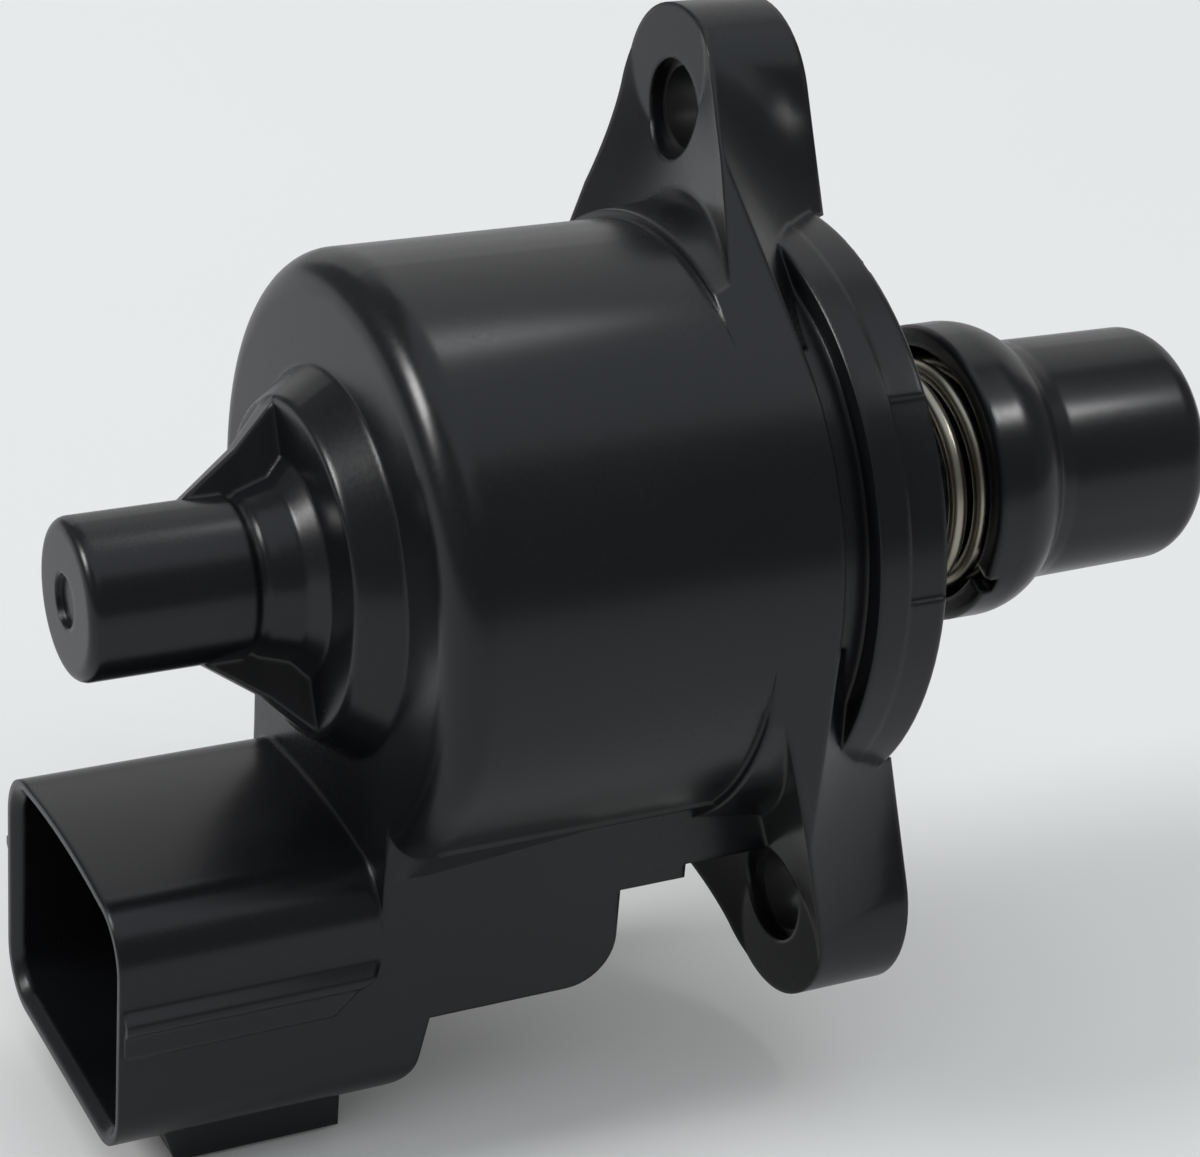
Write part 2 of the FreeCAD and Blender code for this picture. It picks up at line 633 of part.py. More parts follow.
def plunger():
    """The moulded plunger: a skirt over the spring, a shoulder and a long round nose."""
    shoulder = point(PLUNGER_SHOULDER_X, 0, PLUNGER_R)
    foot = point(PLUNGER_FOOT_X, 0, PLUNGER_FOOT_R)
    bulge = (shoulder + foot) / 2 + point(PLUNGER_BULGE / 2, 0, PLUNGER_BULGE)
    bevel = point(PLUNGER_BACK_X, 0, PLUNGER_R - PLUNGER_EDGE)
    skirt = point(PLUNGER_BACK_X + PLUNGER_EDGE, 0, PLUNGER_R)
    neck = point(PLUNGER_NECK_X, 0, PLUNGER_NECK_R)
    tip = point(PLUNGER_TIP_X, 0, PLUNGER_TIP_R)
    back_centre, tip_centre = point(PLUNGER_BACK_X, 0, 0), point(PLUNGER_TIP_X, 0, 0)
    body = outline([
        (back_centre, bevel),
        (bevel, skirt),
        (skirt, shoulder),
        (shoulder, bulge, foot),
        (foot, neck),
        (neck, tip),
        (tip, tip_centre),
        (tip_centre, back_centre),
    ]).revolve(CENTRE, AXIS, 360)
    body = round_rings(body, PLUNGER_TIP_ROUND, PLUNGER_TIP_X - 0.1, PLUNGER_TIP_X + 0.1, PLUNGER_TIP_R)
    well = ring(PLUNGER_CORE_R, PLUNGER_WELL_R, PLUNGER_BACK_X, PLUNGER_WELL_X)
    socket = double_d(SCREW_R, SCREW_FLAT, PLUNGER_BACK_X - 1, SCREW_NOSE_X)
    notch = box(PLUNGER_BACK_X - 1, PLUNGER_BACK_X + PLUNGER_NOTCH_DEPTH,
                -PLUNGER_NOTCH_WIDTH / 2, PLUNGER_NOTCH_WIDTH / 2, PLUNGER_CORE_R + 1, PLUNGER_R + 1)
    return body.cut(well).cut(socket).cut(spun(notch, PLUNGER_NOTCH_ANGLE))


def lead_screw():
    """The screw that the rotor drives: round behind, two flats in front."""
    back = disc(SCREW_R, SCREW_TAIL_X, SCREW_THREAD_END_X)
    tail = [edge for edge in back.Edges if abs(edge.CenterOfMass.x - SCREW_TAIL_X) < 0.01]
    back = back.makeChamfer(SCREW_TAIL_BEVEL, tail)
    front = double_d(SCREW_R, SCREW_FLAT, SCREW_THREAD_END_X, SCREW_NOSE_X)
    return back.fuse(front).removeSplitter()


def return_spring():
    """The coil spring between the cover's well and the plunger's."""
    start = SPRING_WELL_X + SPRING_WIRE_R
    length = PLUNGER_WELL_X - SPRING_WELL_X - 2 * SPRING_WIRE_R
    open_length = length - 2 * SPRING_CLOSED
    stretches = [(SPRING_CLOSED, SPRING_CLOSED), (SPRING_PITCH, open_length), (SPRING_CLOSED, SPRING_CLOSED)]
    coils = []
    reached, turned_by = 0.0, 0.0
    for pitch, run in stretches:
        path = Part.makeHelix(pitch, run, SPRING_R)
        path.rotate(CENTRE, FreeCAD.Vector(0, 0, 1), turned_by)
        path.translate(point(0, 0, reached))
        coils += path.Edges
        reached += run
        turned_by += 360 * run / pitch
    wire = Part.Wire(coils)
    section = Part.Wire(Part.makeCircle(SPRING_WIRE_R, point(SPRING_R, 0, 0), point(0, 1, 0)))
    coil = wire.makePipeShell([section], True, True)
    coil.rotate(CENTRE, FreeCAD.Vector(0, 1, 0), 90)
    coil.translate(point(start, 0, 0))
    return coil


def yoke(outer_x, inward, with_wall):
    """A pole plate with its claws, and the cup's wall on the outer one."""
    sheet_end = outer_x + inward * YOKE_SHEET
    low, high = min(outer_x, sheet_end), max(outer_x, sheet_end)
    body = ring(CLAW_R, CAN_BORE_R - YOKE_GAP, low, high)
    if with_wall:
        wall_end = outer_x + inward * (STACK - YOKE_SHEET)
        wall = ring(CAN_BORE_R - YOKE_GAP - YOKE_SHEET, CAN_BORE_R - YOKE_GAP,
                    min(outer_x, wall_end), max(outer_x, wall_end))
        body = body.fuse(wall)
    reach = STACK - YOKE_SHEET - CLAW_SHORT
    outer_r = CLAW_R + YOKE_SHEET
    root, tip = math.radians(CLAW_ROOT_ANGLE / 2), math.radians(CLAW_TIP_ANGLE / 2)
    end_x = outer_x + inward * reach
    profile = Part.Face(Part.makePolygon([
        point(outer_x, -outer_r * math.tan(root), 0),
        point(end_x, -outer_r * math.tan(tip), 0),
        point(end_x, outer_r * math.tan(tip), 0),
        point(outer_x, outer_r * math.tan(root), 0),
        point(outer_x, -outer_r * math.tan(root), 0),
    ]))
    profile.translate(point(0, 0, CLAW_R / 2))
    shape = ring(CLAW_R, outer_r, min(outer_x, end_x), max(outer_x, end_x))
    claw = profile.extrude(point(0, 0, CLAW_R)).common(shape)
    shift = 0 if with_wall else 180 / POLES
    claws = [spun(claw, shift + 360 * index / POLES) for index in range(POLES)]
    return body.multiFuse(claws).removeSplitter()


def bobbin(start_x, end_x):
    """The moulded reel that a coil is wound on."""
    core = ring(BOBBIN_BORE_R, BOBBIN_BORE_R + BOBBIN_WALL, start_x, end_x)
    near = ring(BOBBIN_BORE_R, BOBBIN_FLANGE_R, start_x, start_x + BOBBIN_FLANGE)
    far = ring(BOBBIN_BORE_R, BOBBIN_FLANGE_R, end_x - BOBBIN_FLANGE, end_x)
    return core.multiFuse([near, far]).removeSplitter()


def coil(start_x, end_x):
    """The winding, filling its reel."""
    return ring(BOBBIN_BORE_R + BOBBIN_WALL, COIL_R, start_x + BOBBIN_FLANGE, end_x - BOBBIN_FLANGE)


def stator_pieces(terminals):
    """Both stacks: cup, reel, winding and pole plate, each the other's mirror."""
    pieces = {}
    for name, outer_x, inward in (("rear", CAN_FLOOR_X, 1), ("front", COVER_PLUG_X, -1)):
        inner_x = outer_x + inward * STACK
        start = min(outer_x + inward * YOKE_SHEET, inner_x - inward * YOKE_SHEET)
        end = max(outer_x + inward * YOKE_SHEET, inner_x - inward * YOKE_SHEET)
        cup = yoke(outer_x, inward, True)
        plate = yoke(inner_x, -inward, False)
        for pin in terminals:
            cup = cup.cut(slot_round(pin))
        pieces[name + "_yoke_cup"] = cup
        pieces[name + "_pole_plate"] = plate
        pieces[name + "_bobbin"] = bobbin(start, end).cut(Part.makeCompound(terminals))
        pieces[name + "_coil"] = coil(start, end)
    return pieces


def slot_round(pin):
    """The opening that a cup's wall leaves round a terminal."""
    bounds = pin.BoundBox
    return box(bounds.XMax - PIN_THICK - PIN_CLEAR, bounds.XMax + PIN_CLEAR,
               bounds.YMin - PIN_CLEAR, bounds.YMax + PIN_CLEAR, -CAN_R, bounds.ZMax + PIN_CLEAR)


def rotor_hub():
    """The moulded hub with its two journals and the nut's thread in the middle."""
    body = turned([
        (BUSH_BACK_X + JOURNAL_SHORT, 0),
        (BUSH_BACK_X + JOURNAL_SHORT, HUB_JOURNAL_R),
        (HUB_BACK_X, HUB_JOURNAL_R),
        (HUB_BACK_X, MAGNET_BORE_R),
        (HUB_FRONT_X - MAGNET_FRONT_GAP, MAGNET_BORE_R),
        (HUB_FRONT_X, HUB_COLLAR_R),
        (BEARING_BACK_X, HUB_COLLAR_R),
        (BEARING_BACK_X, HUB_JOURNAL_R),
        (BEARING_FRONT_X, HUB_JOURNAL_R),
        (BEARING_FRONT_X, 0),
    ])
    through = disc(HUB_BORE_R, BUSH_BACK_X - 1, NUT_START_X)
    front = disc(HUB_BORE_R, NUT_END_X, BEARING_FRONT_X + 1)
    nut = disc(SCREW_R + RUN_GAP, NUT_START_X - 1, NUT_END_X + 1)
    return body.cut(through.multiFuse([front, nut]))


def magnet():
    """The ring magnet on the hub."""
    start = CAN_FLOOR_X + MAGNET_SHORT
    end = HUB_FRONT_X - MAGNET_SHORT
    return ring(MAGNET_BORE_R, MAGNET_R, start, end)


def bush():
    """The sintered bush that carries the rotor's rear journal."""
    return ring(HUB_JOURNAL_R + RUN_GAP, BUSH_R, BUSH_BACK_X, CAN_FLOOR_X)


def bearing_pieces():
    """The ball bearing's two races, its balls and their cage."""
    track_x = (BEARING_BACK_X + BEARING_FRONT_X) / 2
    groove = Part.makeTorus(BALL_TRACK_R, BALL_R + RUN_GAP, point(track_x, 0, 0), AXIS)
    inner = ring(HUB_JOURNAL_R, BALL_TRACK_R - RACE_LAND, BEARING_BACK_X, BEARING_FRONT_X)
    outer = ring(BALL_TRACK_R + RACE_LAND, BEARING_R, BEARING_BACK_X, BEARING_FRONT_X)
    balls, pockets = [], []
    for index in range(BALL_COUNT):
        place = polar(track_x, BALL_TRACK_R, 360 * index / BALL_COUNT)
        balls.append(Part.makeSphere(BALL_R, place))
        pockets.append(Part.makeSphere(BALL_R + RUN_GAP, place))
    cage = ring(BALL_TRACK_R - CAGE_HALF, BALL_TRACK_R + CAGE_HALF,
                track_x - CAGE_WIDTH / 2, track_x + CAGE_WIDTH / 2)
    return {
        "bearing_inner_race": inner.cut(groove),
        "bearing_outer_race": outer.cut(groove),
        "bearing_balls": Part.makeCompound(balls),
        "bearing_cage": cage.cut(Part.makeCompound(pockets)),
    }


def all_pieces():
    """Every separate piece of the valve, by name."""
    terminals = [terminal(row, place) for row in (0, 1) for place in (0, 1, 2)]
    pieces = {"housing": housing(terminals)}
    for index, pin in enumerate(terminals):
        pieces["terminal_%d" % (index + 1)] = pin
    pieces["upper_ear_sleeve"] = limiter(-EAR_TILT)
    pieces["lower_ear_sleeve"] = limiter(180 - EAR_TILT)
    pieces["front_cover"] = front_cover()
    pieces["face_seal"] = face_seal()
    pieces["rear_bush"] = bush()
    pieces.update(stator_pieces(terminals))
    pieces.update(bearing_pieces())
    pieces["rotor_hub"] = rotor_hub()
    pieces["rotor_magnet"] = magnet()
    pieces["lead_screw"] = lead_screw()
    pieces["plunger"] = plunger()
    pieces["return_spring"] = return_spring()
    return pieces


os.makedirs("parts", exist_ok=True)
for node, shape in all_pieces().items():
    shape.exportStep("parts/" + node + ".step")
    print(node, shape.ShapeType, len(shape.Solids), "%.1f mm3" % shape.Volume, shape.isValid())
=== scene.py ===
"""Looks of an idle air control valve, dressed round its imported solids."""
import math

import bpy
from mathutils import Matrix, Vector


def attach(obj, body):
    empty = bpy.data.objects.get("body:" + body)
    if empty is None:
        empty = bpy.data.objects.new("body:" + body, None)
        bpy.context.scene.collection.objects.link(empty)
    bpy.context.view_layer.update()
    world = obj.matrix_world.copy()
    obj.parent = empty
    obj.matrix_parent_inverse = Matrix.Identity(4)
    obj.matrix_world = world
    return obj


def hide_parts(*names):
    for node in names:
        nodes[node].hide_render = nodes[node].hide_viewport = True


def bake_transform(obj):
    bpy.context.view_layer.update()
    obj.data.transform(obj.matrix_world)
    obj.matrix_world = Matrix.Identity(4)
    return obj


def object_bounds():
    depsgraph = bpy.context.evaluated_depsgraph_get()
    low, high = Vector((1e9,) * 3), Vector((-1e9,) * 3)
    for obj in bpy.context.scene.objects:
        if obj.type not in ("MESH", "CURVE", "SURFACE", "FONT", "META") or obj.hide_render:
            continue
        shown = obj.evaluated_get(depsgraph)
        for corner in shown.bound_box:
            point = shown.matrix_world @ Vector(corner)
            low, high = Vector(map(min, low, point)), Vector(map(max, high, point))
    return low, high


MM = 0.001

# Lengths are in millimetres; the camera's clipping, the floor's size and the lamps are in metres

# Camera, fitted to the photograph in the part's own frame
CAMERA_PLACE = Vector((-108.8, -170.1, 92.9)) * MM
CAMERA_RIGHT = Vector((0.891, -0.448, 0.076))
CAMERA_DOWN = Vector((-0.141, -0.431, -0.891))
CAMERA_LENS = 99.8
CAMERA_SENSOR = 36.0
CAMERA_NEAR = 0.005
CAMERA_FAR = 20.0

# Floor and room
FLOOR_SIZE = 3.0
FLOOR_DROP = 0.4 * MM
FLOOR_COLOUR = (0.85, 0.85, 0.84, 1)
FLOOR_BOUNCE = (0.34, 0.34, 0.34, 1)    # the floor's colour to matt surfaces
FLOOR_CLOUD_SIZE = 60.0
FLOOR_CLOUD_GAIN = 1.02
FLOOR_GLOSS = 0.5                       # how much of the pale floor the reflections show
ROOM_COLOUR = (0.86, 0.87, 0.88, 1)
ROOM_LIGHT = 0.02
ROOM_GLOSS = 0.16                       # how much of the pale room the reflections show
ROOM_MATT = 0.55                        # how much of the pale room lights matt surfaces

# Finishes
BLACK_NYLON = (0.0050, 0.0054, 0.0066, 1)
BLACK_NYLON_FLOW = (0.0078, 0.0082, 0.0100, 1)
EDGE_ROUNDING = 0.5
EDGE_SAMPLES = 8
WAVE_PERIOD = 0.314                     # the wave texture repeats over this, divided by its scale

# Mesh work
MERGE_DISTANCE = 0.005
BEVEL_ANGLE = 40

# Return spring, as in the solids
SPRING_START_X = -1.0
SPRING_END_X = 12.4
SPRING_RADIUS = 7.35
SPRING_WIRE = 0.6
SPRING_PITCH = 1.9
SPRING_CLOSED = 1.25
SPRING_SIDES = 20
SPRING_STEPS = 64

# Lead screw
SCREW_LEAD = 1.6
SCREW_RADIUS = 2.5
SCREW_ROOT = 2.05
SCREW_FLAT = 2.0
SCREW_TAIL_X = -44.8
SCREW_NOSE_X = 21.5
SCREW_TAIL_BEVEL = 0.35
SCREW_FLAT_BEVEL = 0.12
THREAD_END_X = -7.4
THREAD_LEAD_IN = 1.2
THREAD_RUN_OUT = 0.6
THREAD_SINK = 0.1
THREAD_FOOT = 1.1
THREAD_CREST = 0.45                     # the crest's width over the foot's

# Windings
WIRE_RADIUS = 0.12
WIRE_LAY = 15.2
WIRE_SIDES = 8
WIRE_STEPS = 96
WINDINGS = {"rear_winding": (-29.35, -22.10), "front_winding": (-18.20, -10.95)}

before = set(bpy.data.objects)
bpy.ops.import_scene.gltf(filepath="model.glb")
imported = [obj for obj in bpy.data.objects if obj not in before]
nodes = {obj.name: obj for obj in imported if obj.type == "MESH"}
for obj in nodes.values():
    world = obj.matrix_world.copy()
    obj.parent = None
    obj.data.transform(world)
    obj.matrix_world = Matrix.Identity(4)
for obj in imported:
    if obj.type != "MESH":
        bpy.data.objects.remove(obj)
cad_low, cad_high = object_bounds()


class Value:
    """A shader socket that takes part in Python arithmetic by adding Math nodes."""

    def __init__(self, shader, socket):
        self.shader = shader
        self.socket = socket

    def _maths(self, operation, *values):
        node = self.shader.node("ShaderNodeMath", {"operation": operation}, dict(enumerate(values)))
        return Value(self.shader, node.outputs[0])

    def __add__(self, other):
        return self._maths("ADD", self, other)

    def __radd__(self, other):
        return self._maths("ADD", other, self)

    def __sub__(self, other):
        return self._maths("SUBTRACT", self, other)

    def __rsub__(self, other):
        return self._maths("SUBTRACT", other, self)

    def __mul__(self, other):
        return self._maths("MULTIPLY", self, other)

    def __rmul__(self, other):
        return self._maths("MULTIPLY", other, self)


class Shader:
    """The nodes of a material or of the world, with one method for every kind of node."""

    def __init__(self, owner):
        self.owner = owner
        owner.use_nodes = True
        self.tree = owner.node_tree
        self.surface = self.tree.nodes.get("Principled BSDF")
        self.edge_normal = None

    def node(self, kind, settings, sockets):
        made = self.tree.nodes.new(kind)
        for key, value in settings.items():
            setattr(made, key, value)
        for key, value in sockets.items():
            self.put(made.inputs[key], value)
        return made

    def put(self, socket, value):
        if isinstance(value, Value):
            self.tree.links.new(value.socket, socket)
        elif isinstance(value, bpy.types.NodeSocket):
            self.tree.links.new(value, socket)
        else:
            socket.default_value = value

    def place(self):
        """The point in the piece's own coordinates."""
        return self.node("ShaderNodeTexCoord", {}, {}).outputs["Object"]

    def noise(self, size_mm, detail, stretch=(1, 1, 1)):
        """Noise whose lumps measure about size_mm."""
        mapping = self.node("ShaderNodeMapping", {}, {"Vector": self.place(), "Scale": stretch})
        noise = self.node(
            "ShaderNodeTexNoise",
            {},
            {"Vector": mapping.outputs[0], "Scale": 1 / (size_mm * MM), "Detail": detail},
        )
        return Value(self, noise.outputs["Fac"])

    def mix(self, share, colour_a, colour_b):
        node = self.node(
            "ShaderNodeMix",
            {"data_type": "RGBA"},
            {0: share, 6: colour_a, 7: colour_b},
        )
        return node.outputs[2]

    def soft_edges(self, radius_mm):
        """Shades sharp edges as if they were rounded."""
        node = self.node("ShaderNodeBevel", {"samples": EDGE_SAMPLES}, {"Radius": radius_mm * MM})
        self.edge_normal = node.outputs[0]

    def bump(self, height, depth_mm):
        node = self.node("ShaderNodeBump", {}, {"Height": height, "Distance": depth_mm * MM})
        if self.edge_normal is not None:
            self.put(node.inputs["Normal"], self.edge_normal)
        self.put(self.surface.inputs["Normal"], node.outputs[0])

    def set(self, **values):
        for name, value in values.items():
            self.put(self.surface.inputs[name.replace("_", " ").title()], value)

    def seen_share(self, gloss, matt=0.0):
        """How much of a pale surrounding a ray meets: all from the camera or through glass."""
        rays = self.node("ShaderNodeLightPath", {}, {}).outputs
        camera, through, shiny, dull = (
            Value(self, rays["Is %s Ray" % kind])
            for kind in ("Camera", "Transmission", "Glossy", "Diffuse")
        )
        return camera + through + shiny * gloss + dull * matt


def new_shader(name):
    """The shader of a new material."""
    return Shader(bpy.data.materials.new(name))


def moulded_black(name, rough, grain):
    """Black glass-filled nylon: faint flow marks and a fine, slightly pitted skin."""
    shader = new_shader(name)
    flow = shader.noise(9.0, 3.0, (0.5, 1, 1))
    speck = shader.noise(0.35, 3.0)
    pit = shader.noise(0.12, 2.0)
    share = shader.node("ShaderNodeMapRange", {}, {0: flow * 0.7 + speck * 0.3, 1: 0.35, 2: 0.65})
    shader.set(base_color=shader.mix(share.outputs[0], BLACK_NYLON, BLACK_NYLON_FLOW))
    shader.put(shader.surface.inputs["Roughness"], rough + flow * 0.10 + speck * 0.08 - 0.09)
    shader.soft_edges(EDGE_ROUNDING)
    shader.bump(speck * 0.6 + pit * 0.4, grain)
    return shader.owner


def metal(name, colour, rough, grain_mm, stretch, streak=0.12, depth=0.004):
    """Bare or plated metal with fine marks that run one way."""
    shader = new_shader(name)
    marks = shader.noise(grain_mm, 3.0, stretch)
    cloud = shader.noise(3.0, 2.0)
    dark = tuple(part * 0.72 for part in colour[:3]) + (1,)
    shader.set(base_color=shader.mix(cloud * 0.6 + marks * 0.4, dark, colour), metallic=1.0)
    shader.put(shader.surface.inputs["Roughness"], rough + marks * streak - streak / 2)
    shader.bump(marks, depth)
    return shader.owner


def wound_copper(name):
    """Enamelled wire laid side by side round the reel."""
    shader = new_shader(name)
    turns = WAVE_PERIOD / (2 * WIRE_RADIUS * MM)
    lay = shader.node(
        "ShaderNodeTexWave",
        {"bands_direction": "X", "wave_profile": "SIN"},
        {"Vector": shader.place(), "Scale": turns, "Distortion": 0.4, "Detail": 1.0},
    )
    height = Value(shader, lay.outputs["Fac"])
    cloud = shader.noise(2.0, 2.0)
    shader.set(
        base_color=shader.mix(cloud, (0.36, 0.10, 0.03, 1), (0.60, 0.22, 0.08, 1)),
        metallic=0.85,
        roughness=0.3 + cloud * 0.1,
    )
    shader.bump(height, 0.08)
    return shader.owner


def pale_nylon(name, colour):
    """Unfilled nylon, slightly milky."""
    shader = new_shader(name)
    flow = shader.noise(5.0, 2.0)
    speck = shader.noise(0.3, 2.0)
    dark = tuple(part * 0.86 for part in colour[:3]) + (1,)
    shader.set(base_color=shader.mix(flow, dark, colour), roughness=0.38 + flow * 0.1)
    shader.bump(speck, 0.006)
    return shader.owner


def soft_rubber(name):
    """Matt black rubber with a faint bloom."""
    shader = new_shader(name)
    bloom = shader.noise(2.5, 4.0)
    speck = shader.noise(0.2, 2.0)
    shader.set(
        base_color=shader.mix(bloom, (0.010, 0.010, 0.010, 1), (0.024, 0.024, 0.025, 1)),
        roughness=0.62 + bloom * 0.15,
    )
    shader.bump(speck, 0.01)
    return shader.owner


def sintered(name, colour, metallic, rough):
    """Pressed and sintered stuff with open pores."""
    shader = new_shader(name)
    pores = shader.noise(0.25, 4.0)
    dark = tuple(part * 0.45 for part in colour[:3]) + (1,)
    shader.set(base_color=shader.mix(pores, dark, colour), metallic=metallic, roughness=rough)
    shader.bump(pores, 0.02)
    return shader.owner


def dress(material, *names):
    """Gives the named nodes one material."""
    for name in names:
        slots = nodes[name].data.materials
        slots.clear()
        slots.append(material)


def pair(text):
    """The names of a piece's rear and front twins."""
    return ["rear_" + text, "front_" + text]


def finish_nodes():
    """Each solid gets the finish of what it is made from."""
    dress(moulded_black("housing_nylon", 0.25, 0.004), "housing")
    dress(moulded_black("cover_nylon", 0.32, 0.004), "front_cover")
    dress(moulded_black("plunger_nylon", 0.24, 0.003), "plunger")
    pins = ["terminal_%d" % (index + 1) for index in range(6)]
    dress(metal("tinned_pin", (0.74, 0.72, 0.67, 1), 0.30, 0.2, (0.1, 1, 1)), *pins)
    sleeves = ["upper_ear_sleeve", "lower_ear_sleeve"]
    dress(metal("zinc_sleeve", (0.16, 0.16, 0.16, 1), 0.42, 0.2, (1, 0.2, 0.2)), *sleeves)
    dress(soft_rubber("seal_rubber"), "face_seal")
    dress(sintered("bronze", (0.56, 0.38, 0.20, 1), 0.9, 0.45), "rear_bush")
    yokes = pair("yoke_cup") + pair("pole_plate")
    dress(metal("yoke_steel", (0.56, 0.56, 0.54, 1), 0.38, 0.3, (0.15, 1, 1)), *yokes)
    dress(pale_nylon("bobbin_nylon", (0.80, 0.77, 0.68, 1)), *pair("bobbin"))
    copper = wound_copper("winding")
    dress(copper, *pair("coil"))
    for name, (start_x, end_x) in WINDINGS.items():
        make_winding(name, start_x, end_x, copper)
    ground = metal("bearing_steel", (0.66, 0.67, 0.69, 1), 0.16, 0.3, (1, 0.2, 0.2), 0.06, 0.001)
    dress(ground, "bearing_inner_race", "bearing_outer_race", "bearing_balls")
    dress(metal("cage_brass", (0.70, 0.52, 0.22, 1), 0.28, 0.3, (0.3, 1, 1)), "bearing_cage")
    dress(pale_nylon("hub_nylon", (0.74, 0.71, 0.60, 1)), "rotor_hub")
    dress(sintered("magnet", (0.10, 0.10, 0.11, 1), 0.2, 0.5), "rotor_magnet")
    screw_steel = metal("screw_steel", (0.60, 0.60, 0.61, 1), 0.24, 0.25, (1, 0.3, 0.3))
    dress(screw_steel, "lead_screw")
    make_lead_screw(screw_steel)
    drawn = (0.52, 0.48, 0.40, 1)
    spring_steel = metal("spring_steel", drawn, 0.33, 0.2, (1, 0.4, 0.4), 0.04, 0.0006)
    dress(spring_steel, "return_spring")
    make_spring(spring_steel)


def clear_selection():
    """Nothing stays selected, so that the next operator meets only its own piece."""
    if bpy.context.object is not None and bpy.context.object.mode != "OBJECT":
        bpy.ops.object.mode_set(mode="OBJECT")
    bpy.ops.object.select_all(action="DESELECT")


def settle(piece, name, material, angle=35):
    """Puts a finished piece's place into its mesh, names it and gives it its finish."""
    clear_selection()
    piece.select_set(True)
    bpy.context.view_layer.objects.active = piece
    bpy.ops.object.transform_apply(location=True, rotation=True, scale=True)
    bpy.ops.object.mode_set(mode="EDIT")
    bpy.ops.mesh.select_all(action="SELECT")
    bpy.ops.mesh.remove_doubles(threshold=MERGE_DISTANCE * MM)
    bpy.ops.mesh.normals_make_consistent(inside=False)
    bpy.ops.object.mode_set(mode="OBJECT")
    bpy.ops.object.shade_smooth_by_angle(angle=math.radians(angle))
    piece.name = name
    piece.data.name = name
    piece.data.materials.clear()
    piece.data.materials.append(material)
    return piece


def join(pieces):
    """Several pieces made into one."""
    clear_selection()
    for piece in pieces:
        piece.select_set(True)
    bpy.context.view_layer.objects.active = pieces[0]
    bpy.ops.object.join()
    return bpy.context.object


def wind(profile, turns, run, steps, start_angle=0.0):
    """Sweeps the edges of a profile round the motor's axis into a right-hand helix."""
    screw = profile.modifiers.new("wind", "SCREW")
    screw.axis = "X"
    screw.angle = 2 * math.pi * turns
    screw.screw_offset = run * MM
    screw.steps = screw.render_steps = max(3, round(steps * turns))
    screw.use_normal_calculate = True
    profile.rotation_euler = (start_angle, 0, 0)
    bpy.ops.object.modifier_apply(modifier=screw.name)
    return profile


def round_profile(x, radius, wire, sides):
    """The section of a wire at a place along the axis, with the helix's centre as its origin."""
    clear_selection()
    bpy.ops.mesh.primitive_circle_add(vertices=sides, radius=wire * MM, fill_type="NOTHING")
    bpy.ops.object.mode_set(mode="EDIT")
    bpy.ops.mesh.select_all(action="SELECT")
    bpy.ops.transform.translate(value=(0, radius * MM, 0))
    bpy.ops.object.mode_set(mode="OBJECT")
    bpy.context.object.location = (x * MM, 0, 0)
    return bpy.context.object


def close_ends(piece):
    """Caps the open ends of a wound wire."""
    clear_selection()
    piece.select_set(True)
    bpy.context.view_layer.objects.active = piece
    bpy.ops.object.mode_set(mode="EDIT")
    bpy.ops.mesh.select_all(action="SELECT")
    bpy.ops.mesh.remove_doubles(threshold=MERGE_DISTANCE * MM)
    bpy.ops.mesh.fill_holes(sides=0)
    bpy.ops.object.mode_set(mode="OBJECT")


def make_spring(material):
    """The return spring: a closed turn at each end and open turns between, of round wire."""
    run = SPRING_END_X - SPRING_START_X - 2 * SPRING_CLOSED
    open_turns = run / SPRING_PITCH
    stretches = [(1.0, SPRING_CLOSED), (open_turns, run), (1.0, SPRING_CLOSED)]
    x, turned, coils = SPRING_START_X, -0.25, []
    for turns, length in stretches:
        profile = round_profile(x, SPRING_RADIUS, SPRING_WIRE, SPRING_SIDES)
        coils.append(wind(profile, turns, length, SPRING_STEPS, 2 * math.pi * turned))
        x += length
        turned += turns
    spring = join(coils)
    close_ends(spring)
    settle(spring, "coil_spring", material, 40)
    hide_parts("return_spring")
    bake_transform(spring)


def bar(radius, start_x, end_x, sides):
    """A round bar on the motor's axis."""
    clear_selection()
    bpy.ops.mesh.primitive_cylinder_add(
        vertices=sides,
        radius=radius * MM,
        depth=(end_x - start_x) * MM,
        location=((start_x + end_x) / 2 * MM, 0, 0),
        rotation=(0, math.pi / 2, 0),
    )
    bpy.ops.object.transform_apply(location=True, rotation=True, scale=True)
    return bpy.context.object


def cut_flat(piece, level):
    """Cuts a bar flat at a height and closes the cut; the side away from the axis goes."""
    bpy.ops.object.mode_set(mode="EDIT")
    bpy.ops.mesh.select_all(action="SELECT")
    bpy.ops.mesh.bisect(
        plane_co=(0, 0, level * MM),
        plane_no=(0, 0, math.copysign(1, level)),
        use_fill=True,
        clear_outer=True,
    )
    bpy.ops.object.mode_set(mode="OBJECT")
    return piece


def bevel_edges(piece, width, segments=2):
    """Takes the sharpness off a piece's hard edges."""
    rounding = piece.modifiers.new("edges", "BEVEL")
    rounding.width = width * MM
    rounding.segments = segments
    rounding.limit_method = "ANGLE"
    rounding.angle_limit = math.radians(BEVEL_ANGLE)
    bpy.context.view_layer.objects.active = piece
    bpy.ops.object.modifier_apply(modifier=rounding.name)


